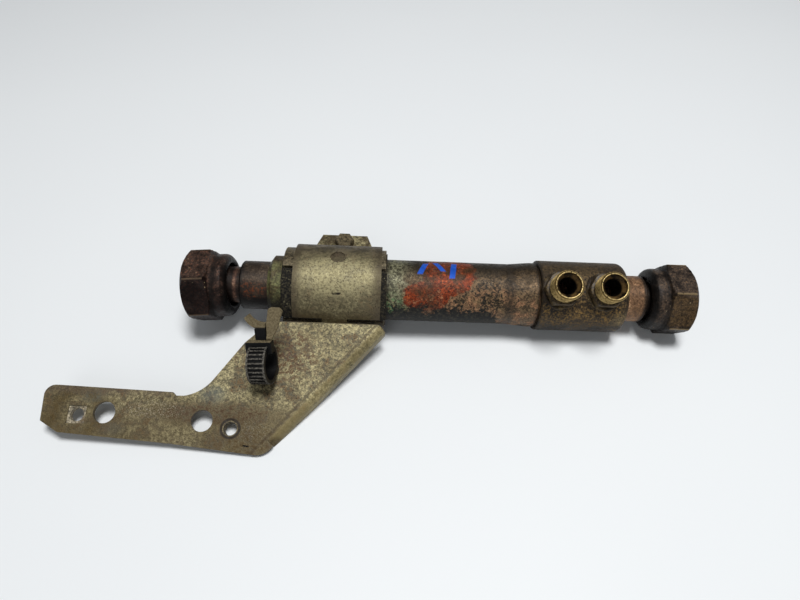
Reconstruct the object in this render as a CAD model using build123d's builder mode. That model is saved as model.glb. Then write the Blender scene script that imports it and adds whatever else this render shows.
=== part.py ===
"""In-line fuel cooler: a refrigerant tube inside a fuel jacket, with captive union nuts at both
ends, two threaded fuel unions and a clamped sheet-metal bracket that carries a cable clip.

Frame: millimetres. The tube's axis is the X axis and the mouth of the outlet nut is at X = 0,
so the cooler runs towards -X. +Z is up and the bracket plate reaches out towards -Y.
"""
from math import cos, radians, sin
import os

from build123d import *

os.makedirs("parts", exist_ok=True)

# ---- union nuts (both ends alike) -------------------------------------------------------
nut_length = 24.0
nut_across_flats = 37.0
hex_length = 15.0
hex_chamfer = 1.3
shoulder_radius = 17.6
lip_bore_radius = 12.25
lip_thickness = 3.5
thread_bore_radius = 13.9
thread_length = 10.0
pocket_radius = 14.8
rim_chamfer = 2.2
inlet_nut_tilt = 6.5
inlet_nut_drop = 0.4

# ---- refrigerant tube, its flares and the loose thrust rings ----------------------------
tube_radius = 10.0
tube_wall = 1.5
flare_radius = 12.6
flare_cone = 2.6
flare_rim = 0.9
ring_radius = 12.9
ring_thickness = 3.0
ring_clearance = 0.05

# ---- stations along the axis, from the outlet nut's mouth -------------------------------
outlet_flare_back = -14.9
outlet_ring_back = -20.3
outlet_collar_end = -25.6
outlet_collar_start = -46.0
sleeve_end = -38.1
sleeve_start = -86.4
sleeve_overlap = 3.3
jacket_cone_end = -232.7
inlet_collar_start = -235.2
inlet_collar_end = -250.6
inlet_nut_rim = -256.0
inlet_ring_front = -261.4
inlet_flare_back = -264.6

# ---- jacket, port sleeve and fuel unions --------------------------------------------------
jacket_radius = 17.0
jacket_wall = 1.6
bell_radius = 18.1
bell_length = 16.0
sleeve_radius = 19.65
sleeve_rounding = 3.4
inlet_collar_radius = 13.5
outlet_collar_radius = 13.0
union_stations = {"fuel_inlet_union": -76.3, "fuel_outlet_union": -52.5}
union_angle = 120.0
union_reach = 34.0
union_radius = 8.0
union_neck_radius = 6.9
union_bore_radius = 4.3
union_seat_radius = 6.5
union_seat_depth = 4.0
union_hex_flats = 17.6
union_hex_top = 24.6
union_spigot_radius = 6.0
fin_count = 10
fin_thickness = 0.8

# ---- clamp: bracket shell, strap, rubber and bolt ------------------------------------------
sheet = 2.0
shell_start, shell_end = -220.3, -173.4
strap_start, strap_end = -226.1, -171.0
strap_radius = 22.0
shell_radius = 24.0
rubber_radius = 20.0
shell_front_angle = 174.0
shell_back_angle = -4.4
strap_front_angle = -174.0
strap_top_angle = 100.0
bolt_x, bolt_y = -196.5, 35.0
bolt_radius = 3.0
bolt_head_flats = 10.0
bolt_head_height = 4.2
bolt_length = 25.3
bolt_hole_gap = 0.3
washer_thickness = 1.4
clamp_nut_height = 5.0
tab_reach = 42.0
tab_root_half, tab_tip_half = 19.5, 13.4

weld_mark_at, weld_mark_angle, weld_mark_radius = -196.8, 85.0, 3.8
weld_mark_depth = 0.6

# ---- bracket plate, drawn on its own sloping plane ------------------------------------------
plate_slope = 19.0
neck_start, neck_end = -204.6, -191.1
bend_radius = 5.0
flange_depth = 11.0
bend_start, bend_end = (-174.1, 0.0), (-228.3, -62.6)
arm_lip_start, arm_lip_end = (-278.6, -40.2), (-336.5, -38.2)
arm_lip_depth = 4.5
arm_lip_radius = 3.0
rest_drop, rest_slope = 18.5, 0.035
arm_hole_radius = 5.5
arm_holes = [(-311.0, -51.5), (-261.7, -54.3)]
weld_nut_at = (-246.9, -57.8)
weld_nut_bore = 4.0
weld_nut_radius = 6.6
weld_nut_height = 3.6
clip_nut_at = (-324.6, -52.9)
clip_nut_window = 9.0
clip_nut_bore = 3.4

slot_at, slot_length, slot_width = (-238.2, -66.2), 3.2, 0.8

# ---- cable clip ---------------------------------------------------------------------------
clip_x, clip_y = -230.4, -27.0
clip_lean = 10.0
clip_stem_radius = 3.15
clip_hole_radius = 3.2
foot_radius, foot_height = 5.2, 1.6
foot_gap = 0.05
barb_radius, barb_height = 4.4, 1.4
saddle_width, saddle_depth, saddle_height = 8.4, 7.0, 3.0
loop_radius = 9.5
loop_band = 1.4
loop_width = 9.4
loop_height = 11.2
loop_shift = 0.7
rail_width, rail_height = 0.9, 0.75
ridge_count, ridge_width, ridge_height = 28, 0.75, 0.6
passage_gap = 0.08
head_turn = 55.0
head_across, head_shift = 13.4, 0.6
head_deep, head_inner, head_outer = 5.0, 5.9, 12.2
neck_left, neck_right = -1.3, 4.3
neck_top, neck_sheet, neck_front = 18.4, 2.2, 0.3
finger_width = 4.4
paddle_at, paddle_back = 5.9, 1.2
paddle_length = 15.5
paddle_rise = 30.0
paddle_sheet = 1.5
paddle_pivot_radius, paddle_pivot_length = 1.1, 2.9

PLATE = Plane(origin=(0, -shell_radius, -1.0), x_dir=(1, 0, 0),
              z_dir=(0, -sin(radians(plate_slope)), cos(radians(plate_slope))))


def sector(x, inner, outer, start, end):
    """Ring sector at station x; angles run from +Y towards +Z."""
    with BuildSketch(Plane.YZ.offset(x)) as sketch:
        with BuildLine():
            far = CenterArc((0, 0), outer, start, end - start)
            near = CenterArc((0, 0), inner, start, end - start)
            Line(far @ 0, near @ 0)
            Line(far @ 1, near @ 1)
        make_face()
    return sketch.sketch


def washer(x, inner, outer):
    """Full ring at station x."""
    with BuildSketch(Plane.YZ.offset(x)) as sketch:
        Circle(outer)
        Circle(inner, mode=Mode.SUBTRACT)
    return sketch.sketch


def turned(points):
    """Closed half-profile of (x, radius) points in the XY plane, ready to revolve about X."""
    with BuildSketch(Plane.XY) as sketch:
        with BuildLine():
            Polyline(*points, close=True)
        make_face()
    return sketch.sketch


def finish(part, name):
    """Label a piece and write its STEP file."""
    part.label = name
    export_step(part, f"parts/{name}.step")


# ---- union nuts -----------------------------------------------------------------------------
def union_nut():
    """Nut with its mouth at the origin and its body along -X."""
    corner = nut_across_flats / 2 / cos(radians(30))
    with BuildPart() as nut:
        with BuildSketch(Plane.YZ.offset(-hex_length)):
            RegularPolygon(nut_across_flats / 2, 6, major_radius=False)
        extrude(amount=hex_length)
        crown = turned([(0, 0), (0, corner - hex_chamfer * 1.9), (-hex_chamfer, corner + 0.01),
                        (-hex_length + hex_chamfer, corner + 0.01),
                        (-hex_length, corner - hex_chamfer * 1.9), (-hex_length, 0)])
        revolve(crown, axis=Axis.X, mode=Mode.INTERSECT)
        shoulder = turned([(-hex_length, 0), (-hex_length, shoulder_radius),
                           (-nut_length + rim_chamfer, shoulder_radius),
                           (-nut_length, shoulder_radius - rim_chamfer), (-nut_length, 0)])
        revolve(shoulder, axis=Axis.X)
        lip_face = -nut_length + lip_thickness
        hollow = turned([(0.1, 0), (0.1, thread_bore_radius + 0.1), (0, thread_bore_radius),
                         (-thread_length, thread_bore_radius), (-thread_length, pocket_radius),
                         (lip_face, pocket_radius), (lip_face, lip_bore_radius),
                         (-nut_length + 0.8, lip_bore_radius), (-nut_length, lip_bore_radius + 0.8),
                         (-nut_length - 0.1, lip_bore_radius + 0.8), (-nut_length - 0.1, 0)])
        revolve(hollow, axis=Axis.X, mode=Mode.SUBTRACT)
    return nut.part


inlet_mouth_plane = Plane(
    origin=(inlet_nut_rim - nut_length * cos(radians(inlet_nut_tilt)), 0,
            -inlet_nut_drop - nut_length * sin(radians(inlet_nut_tilt))),
    x_dir=(-cos(radians(inlet_nut_tilt)), 0, -sin(radians(inlet_nut_tilt))),
    z_dir=(-sin(radians(inlet_nut_tilt)), 0, cos(radians(inlet_nut_tilt))))
finish(union_nut(), "outlet_union_nut")
finish(inlet_mouth_plane.location * union_nut(), "inlet_union_nut")

# ---- refrigerant tube with a flare at each end ----------------------------------------------
with BuildPart() as inner_tube:
    inside = tube_radius - tube_wall
    mouth = flare_radius - tube_wall
    out_cone = outlet_flare_back + flare_cone
    in_cone = inlet_flare_back - flare_cone
    tube_profile = turned([
        (out_cone + flare_rim, flare_radius), (out_cone, flare_radius),
        (outlet_flare_back, tube_radius), (inlet_flare_back, tube_radius),
        (in_cone, flare_radius), (in_cone - flare_rim, flare_radius),
        (in_cone - flare_rim, mouth), (inlet_flare_back - tube_wall / 2, inside),
        (outlet_flare_back + tube_wall / 2, inside), (out_cone + flare_rim, mouth)])
    revolve(tube_profile, axis=Axis.X)
finish(inner_tube.part, "inner_tube")

# ---- loose thrust rings behind the flares -----------------------------------------------------
for name, front in (("outlet_thrust_ring", outlet_ring_back), ("inlet_thrust_ring",
                                                              inlet_ring_front - ring_thickness)):
    with BuildPart() as thrust_ring:
        extrude(washer(front, tube_radius + ring_clearance, ring_radius), amount=ring_thickness)
    finish(thrust_ring.part, name)

# ---- fuel jacket ------------------------------------------------------------------------------
with BuildPart() as outer_tube:
    jacket_end = sleeve_start + sleeve_overlap
    bore = jacket_radius - jacket_wall
    jacket_profile = turned([
        (jacket_end, bore), (jacket_end, jacket_radius), (sleeve_start - 0.2, jacket_radius),
        (sleeve_start - 1.4, bell_radius), (sleeve_start - 4.0, bell_radius),
        (sleeve_start - bell_length, jacket_radius), (jacket_cone_end, jacket_radius),
        (inlet_collar_start, inlet_collar_radius), (inlet_collar_start, inlet_collar_radius - 1.2),
        (jacket_cone_end + 0.4, bore)])
    revolve(jacket_profile, axis=Axis.X)
finish(outer_tube.part, "outer_tube")

# ---- collars that close the jacket onto the tube -----------------------------------------------
with BuildPart() as inlet_collar:
    collar_profile = turned([
        (inlet_collar_start, tube_radius), (inlet_collar_start, inlet_collar_radius),
        (inlet_collar_end + 0.8, inlet_collar_radius), (inlet_collar_end, inlet_collar_radius - 0.8),
        (inlet_collar_end, tube_radius)])
    revolve(collar_profile, axis=Axis.X)
finish(inlet_collar.part, "inlet_end_collar")

with BuildPart() as outlet_collar:
    collar_profile = turned([
        (outlet_collar_start, tube_radius), (outlet_collar_start, outlet_collar_radius),
        (outlet_collar_end - 0.8, outlet_collar_radius),
        (outlet_collar_end, outlet_collar_radius - 0.8), (outlet_collar_end, tube_radius)])
    revolve(collar_profile, axis=Axis.X)
finish(outlet_collar.part, "outlet_end_collar")

# ---- port sleeve over the jacket's end -----------------------------------------------------------
union_axis = {name: Plane(origin=(x, 0, 0), x_dir=(1, 0, 0),
                          z_dir=(0, cos(radians(union_angle)), sin(radians(union_angle))))
              for name, x in union_stations.items()}
with BuildPart() as port_sleeve:
    with BuildSketch(Plane.XY) as half:
        with BuildLine():
            Polyline((sleeve_end - sleeve_rounding, sleeve_radius), (sleeve_start + 0.6, sleeve_radius),
                     (sleeve_start, sleeve_radius - 0.6), (sleeve_start, jacket_radius),
                     (sleeve_end - sleeve_rounding, jacket_radius),
                     (sleeve_end - sleeve_rounding, outlet_collar_radius),
                     (sleeve_end, outlet_collar_radius),
                     (sleeve_end, sleeve_radius - sleeve_rounding))
            RadiusArc((sleeve_end, sleeve_radius - sleeve_rounding),
                      (sleeve_end - sleeve_rounding, sleeve_radius), -sleeve_rounding)
        make_face()
    revolve(axis=Axis.X)
    for plane in union_axis.values():
        with BuildSketch(plane):
            Circle(union_spigot_radius)
        extrude(amount=union_reach, mode=Mode.SUBTRACT)
finish(port_sleeve.part, "port_sleeve")

# ---- threaded fuel unions ---------------------------------------------------------------------------
for name, plane in union_axis.items():
    with BuildPart() as union:
        with BuildSketch(plane.offset(jacket_radius)):
            RegularPolygon(union_hex_flats / 2, 6, major_radius=False, rotation=30)
        extrude(amount=union_hex_top - jacket_radius)
        with BuildSketch(Plane.YZ.offset(sleeve_start - union_hex_flats)):
            Circle(sleeve_radius)
        extrude(amount=-2 * sleeve_start, mode=Mode.SUBTRACT)
        with BuildSketch(plane.offset(jacket_radius)):
            Circle(union_spigot_radius)
        extrude(amount=union_hex_top - jacket_radius)
        with BuildSketch(plane.offset(union_hex_top)):
            Circle(union_neck_radius)
        extrude(amount=1.6)
        with BuildSketch(plane.offset(union_hex_top + 1.6)):
            Circle(union_radius)
        extrude(amount=union_reach - union_hex_top - 1.6)
        chamfer(union.faces().sort_by(Axis(plane.origin, plane.z_dir))[-1].edges(), 1.0)
        with BuildSketch(plane):
            Circle(union_bore_radius)
        extrude(amount=union_reach, mode=Mode.SUBTRACT)
        with BuildSketch(plane.offset(union_reach - union_seat_depth)):
            Circle(union_bore_radius)
        with BuildSketch(plane.offset(union_reach)):
            Circle(union_seat_radius)
        loft(mode=Mode.SUBTRACT)
    finish(union.part, name)

# ---- fins in the fuel jacket and the ring between the two ports -----------------------------------
fin_start, fin_end = jacket_cone_end + 6, sleeve_start - 6
fin_tip = jacket_radius - jacket_wall - 0.3
with BuildPart() as fin_core:
    with BuildSketch(Plane.YZ.offset(fin_start)):
        Circle(tube_radius + 0.9)
        with PolarLocations((tube_radius + fin_tip) / 2, fin_count):
            Rectangle(fin_tip - tube_radius, fin_thickness)
        Circle(tube_radius, mode=Mode.SUBTRACT)
    extrude(amount=fin_end - fin_start)
finish(fin_core.part, "fin_core")

with BuildPart() as divider_ring:
    middle = sum(union_stations.values()) / 2
    extrude(washer(middle - 1, tube_radius, jacket_radius - 0.05), amount=2)
finish(divider_ring.part, "divider_ring")

# ---- bracket: shell over the tube, bolt tab, neck, plate, flange and arm -------------------------
def bent_edge(start, end, depth, radius):
    """Sheet turned down through a right angle along the line from start to end of the plate."""
    run = Vector(end[0] - start[0], end[1] - start[1])
    across = Vector(-run.Y, run.X).normalized()
    foot = PLATE.from_local_coords(Vector(start[0], start[1], 0))
    away = PLATE.from_local_coords(Vector(start[0], start[1], 0) + across) - foot
    along = PLATE.from_local_coords(Vector(end[0], end[1], 0)) - foot
    with BuildPart() as bent:
        with BuildSketch(Plane(origin=foot, x_dir=away, z_dir=along)) as section:
            # local x points away from the plate; the plate's underside decides the side of y
            down = -1 if section.workplanes[0].y_dir.Z > 0 else 1
            with BuildLine():
                Line((-0.01, 0), (0, 0))
                RadiusArc((0, 0), (radius, down * radius), -down * radius)
                Polyline((radius, down * radius), (radius, down * depth),
                         (radius - sheet, down * depth), (radius - sheet, down * radius))
                RadiusArc((radius - sheet, down * radius), (0, down * sheet), down * (radius - sheet))
                Polyline((0, down * sheet), (-0.01, down * sheet), (-0.01, 0))
            make_face()
        extrude(amount=along.length)
    return bent.part


def below_rest():
    """Everything under the surface that the cooler stands on."""
    level = Plane(origin=(0, 0, -rest_drop), x_dir=(1, 0, rest_slope), z_dir=(-rest_slope, 0, 1))
    with BuildPart() as ground:
        with BuildSketch(level):
            with Locations((-200, 0)):
                Rectangle(500, 300)
        extrude(amount=-60)
    return ground.part


with BuildPart() as bracket:
    extrude(sector(shell_start, strap_radius, shell_radius, shell_back_angle, shell_front_angle),
            amount=shell_end - shell_start)
    # shallow dent of the weld that holds the strap's top to the shell
    mark_turn = radians(weld_mark_angle)
    mark = Plane(origin=(weld_mark_at, (shell_radius - weld_mark_depth) * cos(mark_turn),
                         (shell_radius - weld_mark_depth) * sin(mark_turn)),
                 x_dir=(1, 0, 0), z_dir=(0, cos(mark_turn), sin(mark_turn)))
    with BuildSketch(mark):
        Circle(weld_mark_radius)
    extrude(amount=sheet, mode=Mode.SUBTRACT)
    # bolt tab, narrowing towards the rear
    with BuildSketch(Plane.XY.offset(-sheet)):
        with BuildLine():
            Polyline((bolt_x - tab_root_half, strap_radius + 0.3),
                     (bolt_x - tab_root_half, strap_radius + 3),
                     (bolt_x - tab_tip_half, tab_reach), (bolt_x + tab_tip_half, tab_reach),
                     (bolt_x + tab_root_half, strap_radius + 3),
                     (bolt_x + tab_root_half, strap_radius + 0.3), close=True)
        make_face()
        with Locations((bolt_x, bolt_y)):
            Circle(bolt_radius + bolt_hole_gap, mode=Mode.SUBTRACT)
    extrude(amount=sheet)
    # neck that joins the shell to the plate
    with BuildSketch(Plane.YZ.offset(neck_start)):
        with Locations((-shell_radius + sheet / 2, 0.0)):
            Rectangle(sheet, 5.6)
    extrude(amount=neck_end - neck_start)
    with BuildSketch(PLATE.offset(-sheet)):
        with Locations(((neck_start + neck_end) / 2, 0.35)):
            Rectangle(neck_end - neck_start, 1.9)
    extrude(amount=sheet)
    # plate and arm in one blank
    with BuildSketch(PLATE.offset(-sheet)):
        with BuildLine():
            Line((-174.1, 0), (-231.8, 0))
            Line((-231.8, 0), (-244.6, -12.6))
            Line((-244.6, -12.6), (-258.6, -33.0))
            sweep_in = TangentArc((-258.6, -33.0), (-272.5, -41.9), tangent=(-14.0, -20.4))
            Line(sweep_in @ 1, (-276.5, -41.9))
            Line((-276.5, -41.9), (-278.2, -40.2))
            Line((-278.2, -40.2), (-337.5, -38.2))
            RadiusArc((-337.5, -38.2), (-342.8, -43.2), -5.2)
            Line((-342.8, -43.2), (-341.9, -56.5))
            Line((-341.9, -56.5), (-332.6, -61.9))
            Line((-332.6, -61.9), (-276.2, -66.0))
            Line((-276.2, -66.0), (-239.0, -69.9))
            Line((-239.0, -69.9), (-234.0, -70.4))
            RadiusArc((-234.0, -70.4), (-224.7, -65.6), -9.5)
            Line((-224.7, -65.6), bend_end)
            Line(bend_end, bend_start)
        make_face()
        with Locations(*arm_holes):
            Circle(arm_hole_radius, mode=Mode.SUBTRACT)
        with Locations(weld_nut_at):
            Circle(weld_nut_bore, mode=Mode.SUBTRACT)
        with Locations(clip_nut_at):
            Rectangle(clip_nut_window, clip_nut_window, mode=Mode.SUBTRACT)
        with Locations((clip_x, clip_y)):
            Circle(clip_hole_radius, mode=Mode.SUBTRACT)
        with Locations(slot_at):
            SlotOverall(slot_length, slot_width, rotation=-6, mode=Mode.SUBTRACT)
    extrude(amount=sheet)
    add(bent_edge(bend_start, bend_end, flange_depth, bend_radius))
    add(bent_edge(arm_lip_start, arm_lip_end, arm_lip_depth, arm_lip_radius))
    add(below_rest(), mode=Mode.SUBTRACT)
finish(bracket.part, "mounting_bracket")

# ---- lower strap and rubber sleeve of the clamp ---------------------------------------------------
with BuildPart() as strap:
    extrude(sector(strap_start, rubber_radius, strap_radius, strap_front_angle, strap_top_angle),
            amount=strap_end - strap_start)
    with BuildSketch(Plane.XY.offset(-2 * sheet)):
        with BuildLine():
            Polyline((bolt_x - tab_root_half, strap_radius - 0.6), (bolt_x - tab_tip_half, tab_reach),
                     (bolt_x + tab_tip_half, tab_reach),
                     (bolt_x + tab_root_half, strap_radius - 0.6), close=True)
        make_face()
        with Locations((bolt_x, bolt_y)):
            Circle(bolt_radius + bolt_hole_gap, mode=Mode.SUBTRACT)
    extrude(amount=sheet)
finish(strap.part, "clamp_strap")

with BuildPart() as rubber:
    extrude(washer(strap_start - 0.6, jacket_radius, rubber_radius),
            amount=strap_end - strap_start + 1.2)
    extrude(sector(strap_start + 0.4, rubber_radius, strap_radius, strap_top_angle + 4, 182),
            amount=strap_end - strap_start - 0.8)
finish(rubber.part, "clamp_rubber")

# ---- clamp fasteners ---------------------------------------------------------------------------------
with BuildPart() as bolt:
    with BuildSketch():
        with Locations((bolt_x, bolt_y)):
            RegularPolygon(bolt_head_flats / 2, 6, major_radius=False)
    extrude(amount=bolt_head_height)
    chamfer(bolt.faces().sort_by(Axis.Z)[-1].edges(), 0.6)
    with BuildSketch():
        with Locations((bolt_x, bolt_y)):
            Circle(bolt_radius)
    extrude(amount=-bolt_length)
    chamfer(bolt.faces().sort_by(Axis.Z)[0].edges(), 0.7)
finish(bolt.part, "clamp_bolt")

with BuildPart() as bolt_washer:
    with BuildSketch(Plane.XY.offset(-2 * sheet)):
        with Locations((bolt_x, bolt_y)):
            Circle(6.0)
            Circle(bolt_radius + bolt_hole_gap, mode=Mode.SUBTRACT)
    extrude(amount=-washer_thickness)
finish(bolt_washer.part, "clamp_washer")

with BuildPart() as bolt_nut:
    with BuildSketch(Plane.XY.offset(-2 * sheet - washer_thickness)):
        with Locations((bolt_x, bolt_y)):
            RegularPolygon(bolt_head_flats / 2, 6, major_radius=False)
            Circle(bolt_radius, mode=Mode.SUBTRACT)
    extrude(amount=-clamp_nut_height)
finish(bolt_nut.part, "clamp_nut")

# ---- threaded inserts of the arm ------------------------------------------------------------------------
with BuildPart() as weld_nut:
    with BuildSketch(PLATE.offset(-sheet)):
        with Locations(weld_nut_at):
            Circle(weld_nut_radius)
            Circle(weld_nut_bore - 0.6, mode=Mode.SUBTRACT)
    extrude(amount=-weld_nut_height)
    with BuildSketch(PLATE.offset(-sheet)):
        with Locations(weld_nut_at):
            Circle(weld_nut_bore)
            Circle(weld_nut_bore - 0.6, mode=Mode.SUBTRACT)
    extrude(amount=sheet)
finish(weld_nut.part, "weld_nut")

with BuildPart() as clip_nut:
    with BuildSketch(PLATE.offset(-sheet)):
        with Locations(clip_nut_at):
            Rectangle(clip_nut_window + 5, clip_nut_window + 4)
            Circle(clip_nut_bore, mode=Mode.SUBTRACT)
    extrude(amount=-1.6)
    with BuildSketch(PLATE.offset(-sheet)):
        with Locations(clip_nut_at):
            Rectangle(clip_nut_window, clip_nut_window)
            Circle(clip_nut_bore, mode=Mode.SUBTRACT)
    extrude(amount=sheet - 0.7)
finish(clip_nut.part, "arm_clip_nut")

# ---- cable clip: foot, ridged strap loop, ratchet head and release paddle --------------------------------
# CLIP lies on the plate at the clip's stem; LEAN stands on the foot, tipped to the left with the loop
tip = radians(clip_lean)
CLIP = Plane(origin=PLATE.from_local_coords(Vector(clip_x, clip_y, 0)), x_dir=PLATE.x_dir,
             z_dir=PLATE.z_dir)
LEAN = Plane(origin=CLIP.from_local_coords(Vector(0, 0, foot_gap + foot_height)),
             x_dir=CLIP.x_dir * cos(tip) + CLIP.z_dir * sin(tip),
             z_dir=CLIP.z_dir * cos(tip) - CLIP.x_dir * sin(tip))
LOOP = Plane(origin=LEAN.from_local_coords(Vector(loop_shift - loop_width / 2, 0, loop_height)),
             x_dir=LEAN.y_dir, z_dir=LEAN.x_dir)

with BuildPart() as foot:
    with BuildSketch(LEAN.offset(-saddle_height)):
        Rectangle(saddle_width, saddle_depth)
    extrude(amount=2 * saddle_height)
    with BuildSketch(LOOP):
        Circle(loop_radius + rail_height + passage_gap)
    extrude(amount=loop_width, mode=Mode.SUBTRACT)
    with BuildSketch(CLIP.offset(foot_gap + foot_height / 2)):
        Circle(2 * foot_radius)
    extrude(amount=-2 * saddle_height, mode=Mode.SUBTRACT)
    with BuildSketch(CLIP.offset(foot_gap)):
        Circle(foot_radius)
    extrude(amount=foot_height)
    with BuildSketch(CLIP.offset(foot_gap)):
        Circle(clip_stem_radius)
    extrude(amount=-sheet - 2 * foot_gap)
    with BuildSketch(CLIP.offset(-sheet - foot_gap)):
        Circle(barb_radius)
    extrude(amount=-barb_height)
finish(foot.part, "clip_foot")

with BuildPart() as loop:
    with BuildSketch(LOOP):
        Circle(loop_radius)
        Circle(loop_radius - loop_band, mode=Mode.SUBTRACT)
    extrude(amount=loop_width)
    for start in (0, loop_width - rail_width):
        with BuildSketch(LOOP.offset(start)):
            Circle(loop_radius + rail_height)
            Circle(loop_radius - loop_band, mode=Mode.SUBTRACT)
        extrude(amount=rail_width)
    with BuildSketch(LOOP.offset(rail_width)):
        with PolarLocations(loop_radius + ridge_height / 2 - 0.2, ridge_count):
            Rectangle(ridge_height + 0.4, ridge_width)
    extrude(amount=loop_width - 2 * rail_width)
finish(loop.part, "clip_strap")

# HEAD faces along the strap where it enters the ratchet head: x across the strap, y outwards from
# the loop's centre. The strap's tail stands up from the head and curls away to the left.
head_angle = radians(head_turn)
HEAD = Plane(origin=LEAN.from_local_coords(Vector(0, 0, loop_height)), x_dir=LEAN.x_dir,
             z_dir=LEAN.z_dir * sin(head_angle) - LEAN.y_dir * cos(head_angle))
with BuildPart() as head:
    with BuildSketch(HEAD.offset(head_deep / 2)):
        with Locations((head_shift, (head_inner + head_outer) / 2)):
            Rectangle(head_across, head_outer - head_inner)
    extrude(amount=-head_deep)
    chamfer(head.edges(), 0.4)
    with BuildSketch(LOOP.offset(-passage_gap)):
        Circle(loop_radius + rail_height + passage_gap)
        Circle(loop_radius - loop_band - passage_gap, mode=Mode.SUBTRACT)
    extrude(amount=loop_width + 2 * passage_gap, mode=Mode.SUBTRACT)
    with BuildSketch(HEAD.offset(-neck_front)):
        with Locations(((neck_left + neck_right) / 2, (head_outer + neck_top) / 2 - 0.3)):
            Rectangle(neck_right - neck_left, neck_top - head_outer + 0.6)
    extrude(amount=-neck_sheet)
    with BuildSketch(HEAD.offset(-neck_front)):
        with BuildLine():
            Line((neck_right, neck_top - 0.4), (neck_right, neck_top + 2.4))
            ThreePointArc((neck_right, neck_top + 2.4), (-0.7, neck_top + 3.2),
                          (-4.3, neck_top + 7.0))
            Line((-4.3, neck_top + 7.0), (-5.9, neck_top + 5.8))
            ThreePointArc((-5.9, neck_top + 5.8), (-1.8, neck_top + 0.9),
                          (neck_right, neck_top - 0.4))
        make_face()
    extrude(amount=-finger_width)
finish(head.part, "clip_head")

# release paddle: a flat tab that widens towards its rounded end, on a round pivot beside the neck
pivot = HEAD.from_local_coords(
    Vector(paddle_at, head_outer + paddle_pivot_radius + foot_gap, -paddle_back))
climb = radians(paddle_rise)
PADDLE = Plane(origin=pivot, x_dir=LEAN.x_dir,
               z_dir=LEAN.z_dir * cos(climb) - LEAN.y_dir * sin(climb))
with BuildPart() as paddle:
    with BuildSketch(Plane(origin=pivot - LEAN.x_dir * (paddle_pivot_length / 2),
                           x_dir=LEAN.y_dir, z_dir=LEAN.x_dir)):
        Circle(paddle_pivot_radius)
    extrude(amount=paddle_pivot_length)
    with BuildSketch(PADDLE.offset(-paddle_sheet / 2)):
        with BuildLine():
            Polyline((-1.3, 0), (-1.0, 7.5), (0.2, paddle_length - 2.2))
            RadiusArc((0.2, paddle_length - 2.2), (2.3, paddle_length), 2.2)
            Line((2.3, paddle_length), (5.4, paddle_length - 0.3))
            RadiusArc((5.4, paddle_length - 0.3), (7.5, paddle_length - 2.5), 2.2)
            Polyline((7.5, paddle_length - 2.5), (4.4, 5.0), (1.4, 0), (-1.3, 0))
        make_face()
    extrude(amount=paddle_sheet)
finish(paddle.part, "clip_paddle")
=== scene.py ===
import math

import bmesh
import bpy
from mathutils import Matrix, Vector, noise


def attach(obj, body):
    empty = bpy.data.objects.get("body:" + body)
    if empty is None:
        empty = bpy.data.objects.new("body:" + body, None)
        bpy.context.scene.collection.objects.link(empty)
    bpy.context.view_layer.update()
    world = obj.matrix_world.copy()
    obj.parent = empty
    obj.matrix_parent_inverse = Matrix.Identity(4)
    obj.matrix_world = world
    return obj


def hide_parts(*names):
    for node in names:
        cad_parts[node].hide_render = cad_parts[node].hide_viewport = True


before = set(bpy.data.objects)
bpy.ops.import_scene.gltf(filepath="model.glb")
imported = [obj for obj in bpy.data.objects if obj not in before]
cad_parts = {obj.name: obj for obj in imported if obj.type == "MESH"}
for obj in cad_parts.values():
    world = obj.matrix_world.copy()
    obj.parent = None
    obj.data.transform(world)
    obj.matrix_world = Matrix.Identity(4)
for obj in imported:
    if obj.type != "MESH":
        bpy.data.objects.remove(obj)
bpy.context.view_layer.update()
MM = 0.001

# shared measures, in millimetres in the CAD's frame: the tube's axis is X, with the outlet nut's
# mouth at 0 and the inlet towards -X; Z is up, and the bracket reaches towards -Y
UNION_STATIONS = (-76.3, -52.5)
UNION_LEAN = Matrix(((1, 0, 0, 0), (0, 0.8660254, -0.5, 0), (0, 0.5, 0.8660254, 0), (0, 0, 0, 1)))
NUT_LENGTH = 24
INLET_NUT_BACK = (-256, 0, -0.4)
INLET_NUT_TILT = math.radians(6.5)
SHELL_RADIUS = 24.0
WELD_MARK = (-196.8, 95.0)          # station, and degrees round the tube
LOOP_CENTRE = (-231.65, -53.70, 2.31)
LOOP_AXIS = (0.98481, -0.05653, 0.16419)
LOOP_OUT = (-0.0996, 0.5906, 0.8008)    # from the strap's centre towards the clip's head


# ---- materials: a small kit for node graphs -------------------------------------------------
def rgb(*channels):
    """Linear colour from 0-255 display values."""
    return tuple(((c / 255 + 0.055) / 1.055) ** 2.4 for c in channels) + (1.0,)


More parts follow.
